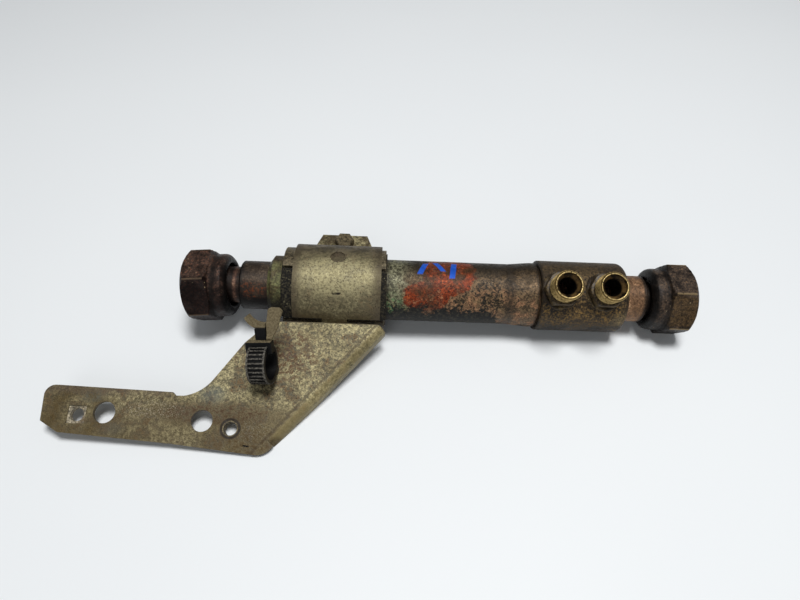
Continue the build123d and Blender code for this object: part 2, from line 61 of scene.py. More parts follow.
class Coat:
    """One procedural material. Its coordinates are the piece's own, in millimetres."""

    def __init__(self, name):
        self.mat = bpy.data.materials.new(name)
        self.mat.use_nodes = True
        self.tree = self.mat.node_tree
        self.bsdf = self.tree.nodes["Principled BSDF"]
        self.bump_in = None
        place = self.add("ShaderNodeTexCoord").outputs["Object"]
        in_mm = self.add("ShaderNodeVectorMath", operation="SCALE")
        self.put(in_mm.inputs[0], place)
        in_mm.inputs["Scale"].default_value = 1000.0
        self.p = in_mm.outputs[0]
        split = self.add("ShaderNodeSeparateXYZ")
        self.put(split.inputs[0], self.p)
        self.x, self.y, self.z = split.outputs

    def add(self, kind, **props):
        node = self.tree.nodes.new(kind)
        for key, value in props.items():
            setattr(node, key, value)
        return node

    def put(self, socket, value):
        if isinstance(value, bpy.types.NodeSocket):
            self.tree.links.new(value, socket)
        else:
            socket.default_value = value

    def math(self, operation, *values):
        node = self.add("ShaderNodeMath", operation=operation)
        for socket, value in zip(node.inputs, values):
            self.put(socket, value)
        return node.outputs[0]

    def step(self, value, low, high):
        """0 at low, 1 at high, smooth between; low may be above high."""
        node = self.add("ShaderNodeMapRange", interpolation_type="SMOOTHSTEP")
        flip = low > high
        for key, number in (("Value", value), ("From Min", min(low, high)),
                            ("From Max", max(low, high)), ("To Min", float(flip)),
                            ("To Max", float(not flip))):
            self.put(node.inputs[key], number)
        return node.outputs[0]

    def scaled(self, size, offset):
        """The coordinates, with size millimetres to the unit."""
        place = self.add("ShaderNodeMapping")
        self.put(place.inputs["Vector"], self.p)
        place.inputs["Location"].default_value = offset
        place.inputs["Scale"].default_value = [1 / size] * 3
        return place.outputs[0]

    def noise(self, size, detail=5.0, rough=0.6, warp=0.0, shift=0.0):
        """Cloudy texture from 0 to 1, with features about size millimetres across."""
        node = self.add("ShaderNodeTexNoise")
        self.put(node.inputs["Vector"], self.scaled(size, (shift, shift * 1.7, -shift)))
        node.inputs["Scale"].default_value = 1.0
        node.inputs["Detail"].default_value = detail
        node.inputs["Roughness"].default_value = rough
        node.inputs["Distortion"].default_value = warp
        return node.outputs[0]

    def cells(self, size, low, high, shift=0.0):
        """1 inside small scattered spots."""
        node = self.add("ShaderNodeTexVoronoi")
        self.put(node.inputs["Vector"], self.scaled(size, (shift, -shift, shift * 0.6)))
        node.inputs["Scale"].default_value = 1.0
        return self.step(node.outputs["Distance"], high, low)

    def mix(self, amount, first, second, blend="MIX"):
        """Colour between first and second."""
        node = self.add("ShaderNodeMix", data_type="RGBA", blend_type=blend)
        for socket, value in zip((node.inputs[0], node.inputs[6], node.inputs[7]),
                                 (amount, first, second)):
            self.put(socket, value)
        return node.outputs[2]

    def blend(self, amount, first, second):
        """Number between first and second."""
        node = self.add("ShaderNodeMix", data_type="FLOAT")
        for socket, value in zip((node.inputs[0], node.inputs[2], node.inputs[3]),
                                 (amount, first, second)):
            self.put(socket, value)
        return node.outputs[0]

    def over(self, color, mask, paint, amount=1.0):
        """Lays a paint, in 0-255 display values, over a colour where the mask is 1."""
        if amount < 1.0:
            mask = self.math("MULTIPLY", mask, amount)
        return self.mix(mask, color, rgb(*paint))

    def both(self, *masks):
        result = masks[0]
        for mask in masks[1:]:
            result = self.math("MULTIPLY", result, mask)
        return result

    def either(self, *masks):
        result = masks[0]
        for mask in masks[1:]:
            result = self.math("MAXIMUM", result, mask)
        return result

    def grain(self, color, texture, low, high):
        """Colour made lighter and darker by a texture, from low to high times."""
        return self.mix(1.0, color, self.blend(self.step(texture, 0.38, 0.62), low, high),
                        "MULTIPLY")

    def away(self, point):
        """The way from a point, in millimetres."""
        node = self.add("ShaderNodeVectorMath", operation="SUBTRACT")
        self.put(node.inputs[0], self.p)
        node.inputs[1].default_value = point
        return node.outputs[0]

    def off_axis(self, point, axis):
        """Distance in millimetres from a line."""
        cross = self.add("ShaderNodeVectorMath", operation="CROSS_PRODUCT")
        self.put(cross.inputs[0], self.away(point))
        cross.inputs[1].default_value = axis
        length = self.add("ShaderNodeVectorMath", operation="LENGTH")
        self.put(length.inputs[0], cross.outputs[0])
        return length.outputs["Value"]

    def along(self, point, direction):
        """Distance in millimetres from a point, measured along a direction."""
        dot = self.add("ShaderNodeVectorMath", operation="DOT_PRODUCT")
        self.put(dot.inputs[0], self.away(point))
        dot.inputs[1].default_value = direction
        return dot.outputs["Value"]

    def stroke(self, turn, station, slope, middle, half, fray):
        """1 inside a brush stroke that runs round the tube, leaning by slope."""
        lean = self.math("MULTIPLY", self.math("SUBTRACT", turn, middle), slope)
        across = self.math("SUBTRACT", self.math("SUBTRACT", self.x, station), lean)
        off = self.math("ABSOLUTE", across)
        off = self.math("ADD", off, self.math("MULTIPLY", fray, 0.9))
        end = self.math("ABSOLUTE", self.math("SUBTRACT", turn, middle))
        return self.both(self.step(off, 2.1, 1.8), self.step(end, half + 2, half - 2))

    def elevation(self):
        """Angle round the tube in degrees: 0 faces the bracket's side, 90 is up."""
        turn = self.math("ARCTAN2", self.z, self.math("MULTIPLY", self.y, -1.0))
        return self.math("MULTIPLY", turn, 180 / math.pi)

    def radius(self):
        """Distance in millimetres from the tube's axis."""
        square = self.math("ADD", self.math("POWER", self.y, 2.0), self.math("POWER", self.z, 2.0))
        return self.math("SQRT", square)

    def spot(self, first, at, size, second, at2, size2, edge=0.1, fray=None, fray_by=0.3):
        """1 inside an oval in two coordinates, with a frayed edge."""
        a = self.math("DIVIDE", self.math("SUBTRACT", first, at), size)
        b = self.math("DIVIDE", self.math("SUBTRACT", second, at2), size2)
        far = self.math("SQRT", self.math("ADD", self.math("POWER", a, 2.0),
                                          self.math("POWER", b, 2.0)))
        if fray is not None:
            far = self.math("ADD", far, self.math("MULTIPLY", self.math("SUBTRACT", fray, 0.5),
                                                  fray_by * 2))
        return self.step(far, 1.0 + edge, 1.0 - edge)

    def stripe(self, value, at, size, edge, fray=None, fray_by=0.3):
        """1 where one coordinate is within size of a place."""
        return self.spot(value, at, size, 0.0, 0.0, 1.0, edge, fray, fray_by)

    def bump(self, height, depth):
        """Adds a layer of relief, depth in millimetres."""
        node = self.add("ShaderNodeBump")
        node.inputs["Strength"].default_value = 1.0
        node.inputs["Distance"].default_value = depth * MM
        self.put(node.inputs["Height"], height)
        if self.bump_in is not None:
            self.put(node.inputs["Normal"], self.bump_in)
        self.bump_in = node.outputs[0]

    def finish(self, color, rough, metal=0.0, gloss=0.28):
        """Wires the finish up and returns the material."""
        for key, value in (("Base Color", color), ("Roughness", rough), ("Metallic", metal)):
            self.put(self.bsdf.inputs[key], value)
        self.bsdf.inputs["Specular IOR Level"].default_value = gloss
        if self.bump_in is not None:
            self.put(self.bsdf.inputs["Normal"], self.bump_in)
        return self.mat


# ---- the finishes ---------------------------------------------------------------------------
# c.x, c.y and c.z place a mark in millimetres; turn places it in degrees round the tube.
def dirty_zinc(name, light=(146, 137, 104), mid=(112, 103, 76), brown=(86, 68, 44), bracket=False):
    """Old yellowed zinc plating with brown dirt, dark specks and pale worn spots; on the bracket
    also a painted highlight band and painted shade over the top of the clamp shell, and a painted
    highlight and shade line along the plate's fold.
    """
    c = Coat(name)
    broad = c.noise(22, 6, 0.6, 0.2)
    patches = c.noise(8, 9, 0.68, 0.25, 3.1)
    fine = c.noise(1.7, 6, 0.72, 0.0, 8.3)
    grit = c.noise(0.6, 4, 0.7, 0.0, 1.9)
    color = c.mix(c.step(broad, 0.36, 0.64), rgb(*mid), rgb(*light))
    color = c.over(color, c.both(c.step(patches, 0.50, 0.62), c.step(fine, 0.36, 0.58)), brown)
    color = c.grain(color, fine, 0.42, 1.44)
    color = c.grain(color, grit, 0.56, 1.34)
    dark = c.both(c.cells(2.1, 0.14, 0.28, 4.0), c.step(patches, 0.42, 0.56))
    color = c.over(color, dark, (44, 36, 24), 0.8)
    metal = c.blend(c.step(patches, 0.60, 0.44), 0.1, 0.45)
    rough = c.blend(c.step(fine, 0.35, 0.7), 0.44, 0.7)
    if bracket:
        turn = c.elevation()
        shell = c.step(c.radius(), 24.6, 24.2)
        # painted highlight: a speckled light band round the clamp shell at about 66 degrees
        band = c.both(shell, c.spot(turn, 66, 27, c.x, -197, 21, 0.35, patches, 0.3),
                      c.step(c.noise(1.3, 6, 0.78, 0.2, 5.5), 0.38, 0.56))
        color = c.over(color, shell, (104, 96, 72), 0.55)
        color = c.grain(color, fine, 0.82, 1.15)
        color = c.over(color, band, (172, 163, 124), 0.75)
        low = c.both(shell, c.step(turn, 34, 4), c.step(patches, 0.26, 0.52))
        color = c.over(color, low, (66, 54, 30), 0.8)
        # painted shade over the shell's top, mottled by the patches
        upper = c.both(shell, c.step(turn, 84, 116))
        painted_top_shade = c.mix(c.step(patches, 0.4, 0.6), rgb(62, 54, 42), rgb(98, 88, 70))
        color = c.mix(c.math("MULTIPLY", upper, 0.85), color, painted_top_shade)
        rim = c.both(shell, c.either(c.step(c.x, -214.0, -219.5), c.step(c.x, -180.5, -174.5)))
        color = c.over(color, rim, (74, 64, 50), 0.7)
        crack = c.both(shell, c.spot(c.x, -196.5, 2.5, turn, 43, 1.7, 0.5, fine, 2.4))
        color = c.over(color, crack, (30, 24, 14))
        mark = c.both(shell, c.spot(c.x, WELD_MARK[0], 3.7, turn, WELD_MARK[1], 8.8, 0.12))
        color = c.over(color, mark, (58, 46, 38), 0.6)
        plate = c.step(c.y, -23.9, -25.2)
        straw = c.noise(3.2, 8, 0.75, 1.4, 31.0)
        near_clip = c.both(plate, c.spot(c.x, -226, 21, c.y, -43, 13, 0.5, patches, 0.7))
        color = c.over(color, c.both(near_clip, c.step(straw, 0.48, 0.57)), (78, 54, 35))
        color = c.over(color, c.both(near_clip, c.step(straw, 0.62, 0.68)), (170, 148, 104))
        stain = c.spot(c.x, -256, 30, c.y, -72, 5, 0.5, patches, 0.7)
        color = c.over(color, c.both(stain, c.step(fine, 0.42, 0.58)), (74, 52, 38))
        corner = c.spot(c.x, -236, 22, c.y, -86, 9, 0.5, patches, 0.6)
        color = c.over(color, c.both(corner, c.step(fine, 0.40, 0.60)), (82, 64, 36))
        scuff = c.both(c.spot(c.x, -236, 8, c.y, -79.5, 5, 0.6, patches, 0.9),
                       c.step(grit, 0.55, 0.66))
        color = c.over(color, scuff, (180, 178, 168), 0.6)
        teal = c.either(*[c.spot(c.x, x, 6, c.y, y, half, 0.6, patches, 0.8)
                          for x, y, half in ((-318, -65, 3), (-306, -80, 3), (-258, -63, 4))])
        color = c.over(color, teal, (86, 92, 88), 0.55)
        specks = c.both(c.spot(c.x, -288, 16, c.y, -71, 4, 0.5, patches, 0.8),
                        c.step(grit, 0.56, 0.63))
        color = c.over(color, specks, (200, 190, 172))
        front = c.both(plate, c.step(c.y, -58, -76))
        color = c.over(color, front, (80, 67, 43), 0.55)
        # the folded edge of the plate: a painted highlight along its crown and a painted shade line
        # along its root
        fold = c.along((-174.1, -24.0, 0.0), (0.7376, -0.6753, 0.0))
        fold_highlight = c.both(plate, c.step(fold, 0.2, 1.4), c.step(c.y, -84.0, -80.0),
                       c.step(patches, 0.36, 0.5))
        color = c.over(color, fold_highlight, (148, 134, 92), 0.5)
        root = c.both(plate, c.step(fold, -1.6, -0.9), c.step(fold, 0.3, -0.3),
                      c.step(fine, 0.36, 0.5))
        color = c.over(color, root, (66, 54, 36), 0.6)
        tab = c.both(c.step(c.y, 23.5, 25.5), c.step(patches, 0.42, 0.56))
        color = c.over(color, tab, (72, 60, 42), 0.8)
        pits = c.both(shell, c.cells(1.4, 0.16, 0.30, 7.0), c.step(patches, 0.40, 0.54))
        color = c.over(color, pits, (48, 38, 22), 0.75)
        far = c.off_axis((-246.9, -78.0, -21.7), (0, -0.3256, 0.9455))
        lip = c.both(plate, c.step(far, 5.6, 4.9), c.step(c.y, -60, -66))
        color = c.over(color, lip, (30, 24, 20), 0.85)
        arm = c.step(c.x, -262, -284)
        color = c.over(color, arm, (104, 90, 62), 0.1)
        ring = c.both(arm, c.spot(c.x, -324.6, 15, c.y, -73, 11, 0.5, patches, 0.6),
                      c.math("SUBTRACT", 1.0, c.spot(c.x, -324.6, 9, c.y, -73, 8, 0.4)))
        color = c.over(color, c.both(ring, c.step(fine, 0.38, 0.55)), (76, 60, 30))
        bend = c.both(c.step(c.y, -66.0, -61.5), arm)
        color = c.over(color, bend, (84, 70, 58), 0.55)
    c.bump(patches, 0.3)
    c.bump(fine, 0.2)
    c.bump(grit, 0.08)
    return c.finish(color, rough, metal)


def rusty_iron(name, point=(0, 0, 0), axis=(1, 0, 0), mouth=0.0, side=-1, olive=False):
    """Dark weathered steel, rust brown in its pores, with painted shade underneath and on its rear
    rim, and lighter hex corners that are partly wear and partly painted highlight.

    The nut's axis passes through point; mouth is its open end's station, and side says which way
    along X the nut runs from there.
    """
    c = Coat(name)
    broad = c.noise(9, 7, 0.66, 0.3)
    fine = c.noise(1.4, 7, 0.75, 0.0, 6.0)
    grit = c.noise(0.55, 3, 0.6, 0.0, 2.2)
    far = c.off_axis(point, axis)
    turn = c.elevation()
    if olive:
        deep, brown, edge = (34, 28, 25), (74, 62, 52), (140, 120, 86)
        red, painted_shade = (88, 66, 44), (18, 13, 9)
        under = c.step(turn, 8, -10)
    else:
        deep, brown, edge = (32, 22, 18), (78, 60, 50), (104, 86, 68)
        red, painted_shade = (92, 54, 36), (20, 7, 4)
        under = c.either(c.step(turn, 56, 6),
                         c.both(c.step(far, 17.6, 18.2), c.step(turn, 62, 58)))
    color = c.mix(c.step(broad, 0.34, 0.62), rgb(*deep), rgb(*brown))
    color = c.over(color, c.both(c.step(fine, 0.50, 0.68), c.step(broad, 0.36, 0.6)), red)
    if olive:
        hexagon = c.both(c.step(c.x, mouth - 15.5, mouth - 14.5),
                         c.stripe(turn, 30, 26, 0.12, broad, 0.2))
        color = c.over(color, c.both(hexagon, c.step(fine, 0.30, 0.5)), (76, 59, 38))
    # painted shade on the nut's underside and shoulder, in near-black
    color = c.over(color, under, painted_shade, 0.88)
    color = c.grain(color, fine, 0.48, 1.55)
    color = c.grain(color, grit, 0.62, 1.4)
    speck = c.both(c.cells(3.1, 0.05, 0.12, 3.0), c.step(broad, 0.44, 0.56))
    color = c.over(color, speck, (176, 156, 120))
    # lighter hex corners: painted highlight, broken up by noise like wear
    corner = c.both(c.step(far, 20.8, 21.1), c.step(fine, 0.30, 0.50))
    color = c.over(color, corner, edge, 0.8)
    seam = c.stripe(c.x, mouth + side * 15.6, 1.3, 0.6)
    color = c.over(color, seam, (14, 11, 9), 0.7)
    # painted shade on the nut's rear rim, in near-black
    rim = c.stripe(c.x, mouth + side * 23.6, 2.6, 0.5)
    color = c.over(color, rim, (9, 8, 7), 0.9)
    c.bump(broad, 0.25)
    c.bump(fine, 0.2)
    c.bump(grit, 0.08)
    rough = c.blend(c.step(fine, 0.35, 0.7), 0.36, 0.68)
    return c.finish(color, rough, c.blend(c.step(broad, 0.4, 0.6), 0.55, 0.25))


def jacket_skin():
    """Bronze-brown tube: green at the clamp, a worn orange-red paint patch, black crust below,
    painted shade along the top.
    """
    c = Coat("jacket_skin")
    turn = c.elevation()
    broad = c.noise(12, 7, 0.64, 0.3)
    fine = c.noise(1.6, 7, 0.74, 0.0, 6.0)
    grit = c.noise(0.6, 4, 0.7, 0.0, 2.2)
    fray = c.noise(5.0, 8, 0.72, 0.4, 12.0)
    color = c.mix(c.step(broad, 0.36, 0.64), rgb(84, 68, 48), rgb(112, 90, 64))
    color = c.over(color, c.both(c.step(fray, 0.46, 0.62), c.step(turn, 74, 44)), (142, 104, 74))
    # painted shade along the tube's top
    color = c.over(color, c.step(turn, 66, 108), (30, 26, 19), 0.92)
    green = c.step(c.math("ADD", c.x, c.math("MULTIPLY", fray, 16.0)), -146, -158)
    color = c.mix(green, color, c.mix(c.step(fine, 0.36, 0.62), rgb(72, 70, 50), rgb(116, 114, 90)))
    verdigris = c.both(green, c.step(turn, 52, 24), c.step(fray, 0.44, 0.56))
    color = c.over(color, verdigris, (92, 124, 84))
    color = c.over(color, c.both(green, c.step(turn, 40, 12), c.step(fine, 0.54, 0.64)),
                   (140, 58, 38))
    # dark lines of cracked old coating over the middle
    lines = c.math("ABSOLUTE", c.math("SUBTRACT", c.noise(7.5, 7, 0.66, 0.6, 22.0), 0.5))
    net = c.both(c.either(c.step(lines, 0.035, 0.018), c.step(fray, 0.58, 0.63)),
                 c.spot(c.x, -124, 30, turn, 36, 46, 0.5, broad, 0.6))
    color = c.over(color, net, (32, 29, 22))
    # paint patch with a lobe towards the clamp
    red = c.either(c.spot(c.x, -136.5, 14.5, turn, 90, 48, 0.05, fray, 0.4),
                   c.spot(c.x, -149, 12.5, turn, 38, 29, 0.05, fray, 0.5))
    tint = c.mix(c.step(broad, 0.38, 0.58), rgb(72, 46, 26), rgb(124, 50, 20))
    tint = c.over(tint, c.both(c.step(fine, 0.54, 0.68), c.step(broad, 0.44, 0.54)),
                  (150, 78, 36))
    worn = c.both(c.step(fray, 0.50, 0.60), c.step(fine, 0.40, 0.56))
    color = c.mix(c.both(red, c.math("SUBTRACT", 1.0, c.math("MULTIPLY", worn, 0.8))), color, tint)
    # crust along the underside, ragged at its upper edge
    ragged = c.math("ADD", turn, c.math("MULTIPLY", c.math("SUBTRACT", fray, 0.5), 120.0))
    limit = c.blend(c.step(c.x, -116, -104), 16.0, -30.0)
    crust = c.step(c.math("SUBTRACT", ragged, limit), 5, -5)
    grime = c.mix(c.step(fine, 0.46, 0.64), rgb(9, 9, 7), rgb(50, 46, 35))
    color = c.mix(crust, color, grime)
    pits = c.both(c.cells(1.5, 0.20, 0.34, 5.0), c.step(broad, 0.36, 0.50))
    color = c.over(color, pits, (30, 24, 16), 0.8)
    rings = c.either(c.stripe(c.x, -87.3, 1.5, 0.5),
                     c.stripe(c.x, -103, 2.6, 0.7),
                     c.stripe(c.x, -171, 2.2, 0.7))
    color = c.over(color, rings, (36, 28, 18), 0.65)
    cone = c.step(c.x, -224, -227)
    mould = c.mix(c.step(fray, 0.42, 0.60), rgb(70, 62, 38), rgb(102, 102, 66))
    color = c.mix(cone, color, mould)
    color = c.over(color, c.both(cone, c.step(turn, 40, 12)), (36, 33, 20))
    # painted shade on the cone's top
    color = c.over(color, c.both(cone, c.step(turn, 80, 110)), (66, 56, 40))
    color = c.grain(color, fine, 0.54, 1.42)
    color = c.grain(color, grit, 0.66, 1.32)
    # three plain blue dabs: station, slope, middle and half-length in degrees
    dabs = ((-150.8, 0.12, 98, 15), (-141.8, -0.16, 104, 13), (-134.2, 0.04, 96, 20))
    blue = c.either(*[c.stroke(turn, *dab, fray) for dab in dabs])
    color = c.over(color, blue, (28, 84, 190))
    shine = c.both(c.step(fray, 0.58, 0.44), c.math("SUBTRACT", 1.0, crust))
    c.bump(crust, 0.5)
    c.bump(fray, 0.3)
    c.bump(fine, 0.22)
    c.bump(grit, 0.08)
    return c.finish(color, c.blend(shine, 0.66, 0.42), c.math("MULTIPLY", shine, 0.3))


def patina(name, dark, mid, light, rust=None, rust_turn=0, black_turn=None, metal=0.35, painted_shade=()):
    """Brown oxide on brass or copper, darker underneath; the stations given last are black rings of
    painted shade at the gaps by the nuts.
    """
    c = Coat(name)
    turn = c.elevation()
    broad = c.noise(9, 7, 0.66, 0.3)
    fine = c.noise(1.3, 7, 0.74, 0.0, 6.0)
    grit = c.noise(0.55, 3, 0.6, 0.0, 2.2)
    color = c.mix(c.step(broad, 0.36, 0.62), rgb(*dark), rgb(*mid))
    color = c.over(color, c.both(c.step(broad, 0.46, 0.62), c.step(fine, 0.44, 0.64)), light)
    if rust:
        band = c.both(c.stripe(turn, rust_turn, 22, 0.5, broad, 0.5),
                      c.step(fine, 0.47, 0.64))
        color = c.over(color, band, rust)
    if black_turn is not None:
        ragged = c.math("ADD", turn, c.math("MULTIPLY", c.math("SUBTRACT", broad, 0.5), 60.0))
        color = c.over(color, c.step(ragged, black_turn + 8, black_turn - 8), (15, 10, 8))
    # black rings of painted shade where the tube and collars run into the nuts
    for station in painted_shade:
        ring = c.stripe(c.x, station, 2.0, 0.5)
        color = c.over(color, ring, (14, 11, 9), 0.9)
    color = c.grain(color, fine, 0.56, 1.4)
    color = c.grain(color, grit, 0.68, 1.32)
    c.bump(broad, 0.2)
    c.bump(fine, 0.16)
    c.bump(grit, 0.07)
    rough = c.blend(c.step(fine, 0.36, 0.66), 0.38, 0.64)
    return c.finish(color, rough, metal)


def sleeve_skin():
    """Olive-brown grime on the port sleeve, black round the unions' feet, painted shade along the
    top.
    """
    c = Coat("sleeve_skin")
    turn = c.elevation()
    broad = c.noise(11, 7, 0.66, 0.3)
    fine = c.noise(1.4, 7, 0.74, 0.0, 6.0)
    grit = c.noise(0.6, 4, 0.7, 0.0, 2.2)
    color = c.mix(c.step(broad, 0.36, 0.62), rgb(66, 53, 36), rgb(98, 80, 52))
    color = c.over(color,
                   c.both(c.step(fine, 0.46, 0.70), c.step(turn, 66, 20), c.step(broad, 0.3, 0.6)),
                   (134, 102, 48))
    # painted shade along the sleeve's top
    color = c.over(color, c.step(turn, 70, 104), (58, 48, 36), 0.7)
    feet = c.either(*[c.spot(c.x, at, 13, turn, 50, 36, 0.5, broad, 0.4) for at in (-77, -53)])
    color = c.over(color, c.both(feet, c.step(fine, 0.62, 0.40)), (20, 15, 10))
    pale = c.both(c.step(c.x, -50, -42), c.step(turn, 36, 8))
    color = c.over(color, pale, (116, 102, 74), 0.7)
    low = c.both(c.step(turn, 12, -14), c.step(broad, 0.34, 0.52))
    color = c.over(color, low, (30, 25, 17))
    color = c.over(color, c.both(c.cells(1.5, 0.20, 0.34, 5.0), c.step(broad, 0.36, 0.5)),
                   (30, 23, 14))
    color = c.grain(color, fine, 0.52, 1.46)
    color = c.grain(color, grit, 0.66, 1.34)
    color = c.over(color, c.step(c.x, -84.7, -86.1), (34, 27, 18), 0.7)
    c.bump(broad, 0.4)
    c.bump(fine, 0.34)
    c.bump(grit, 0.12)
    return c.finish(color, c.blend(c.step(fine, 0.36, 0.66), 0.42, 0.72), 0.25)


def union_brass():
    """Stained brass, with a painted highlight on the thread's crests and rim and painted shade in
    the grooves and the bore.
    """
    c = Coat("union_metal")
    out = c.math("SUBTRACT", c.math("MULTIPLY", c.z, 0.866), c.math("MULTIPLY", c.y, 0.5))
    fine = c.noise(1.1, 6, 0.7, 0.0, 6.0)
    broad = c.noise(5, 6, 0.6, 0.3)
    far = c.math("MINIMUM", *[c.off_axis((at, 0, 0), (0, -0.5, 0.866)) for at in UNION_STATIONS])
    color = c.mix(c.step(broad, 0.36, 0.62), rgb(96, 76, 40), rgb(134, 110, 64))
    # painted shade in the thread's grooves and everything narrower
    color = c.over(color, c.step(far, 7.62, 7.05), (44, 31, 14))
    # painted highlight on the thread's crests and the top rim
    crest = c.either(c.step(far, 7.55, 7.9), c.both(c.step(out, 33.6, 33.9), c.step(far, 6.3, 6.7)))
    color = c.over(color, c.both(crest, c.step(fine, 0.38, 0.56)), (204, 178, 120))
    foot = c.step(out, 26.2, 24.7)
    color = c.mix(foot, color, c.mix(c.step(fine, 0.42, 0.62), rgb(40, 31, 20), rgb(98, 82, 54)))
    inside = c.both(c.step(far, 6.7, 6.4), c.step(out, 33.9, 33.4))
    color = c.mix(inside, color, c.mix(c.step(broad, 0.4, 0.6), rgb(26, 19, 11), rgb(96, 74, 42)))
    # painted shade deep in the bore, near-black
    deep = c.both(c.step(far, 5.2, 4.4), c.step(out, 31.4, 30.2))
    color = c.over(color, deep, (6, 5, 4))
    color = c.over(color, c.both(c.step(fine, 0.58, 0.68), c.step(far, 8.4, 6.5)), (86, 64, 34))
    c.bump(fine, 0.1)
    metal = c.blend(c.either(foot, inside), 0.7, 0.15)
    return c.finish(color, c.blend(c.step(fine, 0.36, 0.66), 0.34, 0.55), metal)


def old_rubber():
    """Perished rubber, black with packed grit."""
    c = Coat("old_rubber")
    broad = c.noise(4, 7, 0.72, 0.4)
    fine = c.noise(1.2, 6, 0.74, 0.0, 6.0)
    color = c.mix(c.step(fine, 0.46, 0.62), rgb(16, 14, 11), rgb(66, 60, 44))
    color = c.over(color, c.both(c.step(broad, 0.52, 0.62), c.step(fine, 0.5, 0.6)),
                   (118, 112, 86))
    c.bump(broad, 1.1)
    c.bump(fine, 0.6)
    return c.finish(color, c.blend(fine, 0.6, 0.95))


def clip_plastic(name, dusty, head=False, strap=False):
    """Black nylon; dusty is how much beige dust lies on it."""
    c = Coat(name)
    broad = c.noise(4, 7, 0.66, 0.3)
    fine = c.noise(0.8, 6, 0.74, 0.0, 6.0)
    color = c.mix(c.step(fine, 0.4, 0.7), rgb(5, 5, 6), rgb(17, 16, 15))
    dust = c.step(c.math("ADD", broad, c.math("MULTIPLY", fine, 0.6)), 1.12 - dusty, 1.32 - dusty)
    powder = c.mix(c.step(fine, 0.36, 0.62), rgb(84, 74, 54), rgb(124, 112, 86))
    if head:
        out = c.along(LOOP_CENTRE, LOOP_OUT)
        top = c.both(c.step(out, 12.05, 12.15), c.step(out, 12.6, 12.4))
        dust = c.either(dust, c.step(out, 18.6, 19.6), c.both(top, c.step(fine, 0.34, 0.48)))
    if strap:
        ridge = c.step(c.off_axis(LOOP_CENTRE, LOOP_AXIS), 9.8, 9.98)
        dust = c.either(dust, c.both(ridge, c.step(fine, 0.40, 0.58)))
        powder = rgb(104, 100, 92)
    color = c.mix(dust, color, powder)
    c.bump(broad, 0.12)
    c.bump(fine, 0.1)
    return c.finish(color, c.blend(dust, 0.46, 0.85), 0.0, 0.18)


zinc_bracket = dirty_zinc("zinc_bracket", bracket=True)
zinc_strap = dirty_zinc("zinc_strap", (116, 106, 84), (84, 74, 56), (56, 45, 30))
zinc_parts = dirty_zinc("zinc_parts", (140, 128, 98), (100, 89, 67), (62, 50, 34))
zinc_insert = dirty_zinc("zinc_insert", (170, 160, 138), (140, 130, 108))
nut_left = rusty_iron("nut_left", INLET_NUT_BACK,
                      (math.cos(INLET_NUT_TILT), 0, math.sin(INLET_NUT_TILT)), -279.9, 1)
nut_right = rusty_iron("nut_right", olive=True)
ring_steel = rusty_iron("ring_steel")
jacket = jacket_skin()
sleeve = sleeve_skin()
# the last stations given to the collars and the tube are rings of painted shade by the nuts
collar_left = patina("collar_left", (46, 37, 30), (66, 54, 43), (86, 74, 60), rust=(92, 44, 18),
                     rust_turn=34, black_turn=20, painted_shade=(-250.8,))
collar_right = patina("collar_right", (104, 78, 56), (142, 106, 78), (176, 144, 108),
                      rust=(100, 74, 48), rust_turn=4, painted_shade=(-26.0,))
tube_copper = patina("tube_copper", (72, 50, 40), (112, 82, 66), (146, 116, 94),
                     painted_shade=(-251.0, -256.6, -25.0, -22.0))
fin_copper = patina("fin_copper", (150, 92, 64), (176, 112, 80), (190, 130, 98), metal=0.8)
braze = patina("braze", (38, 29, 20), (66, 54, 36), (112, 94, 60))
brass = union_brass()
rubber = old_rubber()
black_clip = clip_plastic("black_clip", 0.08)
strap_clip = clip_plastic("strap_clip", 0.06, strap=True)
head_clip = clip_plastic("head_clip", 0.06, head=True)
dusty_clip = clip_plastic("dusty_clip", 0.66)
node_finishes = {
    "mounting_bracket": zinc_bracket, "clamp_strap": zinc_strap, "clamp_washer": zinc_parts,
    "clamp_nut": zinc_parts, "weld_nut": zinc_parts, "arm_clip_nut": zinc_insert,
    "clamp_bolt": zinc_parts, "outer_tube": jacket, "port_sleeve": sleeve,
    "inlet_end_collar": collar_left, "outlet_end_collar": collar_right, "inner_tube": tube_copper,
    "fin_core": fin_copper, "divider_ring": fin_copper, "clamp_rubber": rubber,
    "inlet_thrust_ring": ring_steel, "outlet_thrust_ring": ring_steel, "inlet_union_nut": nut_left,
    "outlet_union_nut": nut_right, "fuel_inlet_union": brass, "fuel_outlet_union": brass,
    "clip_foot": black_clip, "clip_strap": strap_clip, "clip_head": head_clip,
    "clip_paddle": dusty_clip}


def dress(piece, material):
    """Gives a piece one material."""
    piece.data.materials.clear()
    piece.data.materials.append(material)


for node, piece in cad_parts.items():
    dress(piece, node_finishes[node])


# ---- meshes ---------------------------------------------------------------------------------
SMOOTH_BELOW = math.radians(21)


def grid(name, rows, body, material, stands_for=None):
    """Closed skin through rings of points, the last ring joined to the first."""
    mesh = bpy.data.meshes.new(name)
    count = len(rows[0])
    faces = []
    for i in range(len(rows)):
        a, b = i * count, (i + 1) % len(rows) * count
        faces += [(a + k, a + (k + 1) % count, b + (k + 1) % count, b + k) for k in range(count)]
    mesh.from_pydata([tuple(p) for row in rows for p in row], [], faces)
    piece = bpy.data.objects.new(name, mesh)
    bpy.context.scene.collection.objects.link(piece)
    face_outward(mesh)
    mesh.set_sharp_from_angle(angle=SMOOTH_BELOW)
    for face in mesh.polygons:
        face.use_smooth = True
    dress(piece, material)
    if stands_for:
        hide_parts(*stands_for)
    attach(piece, body)
    return piece


def face_outward(mesh):
    bm = bmesh.new()
    bm.from_mesh(mesh)
    bmesh.ops.recalc_face_normals(bm, faces=bm.faces)
    bm.to_mesh(mesh)
    bm.free()


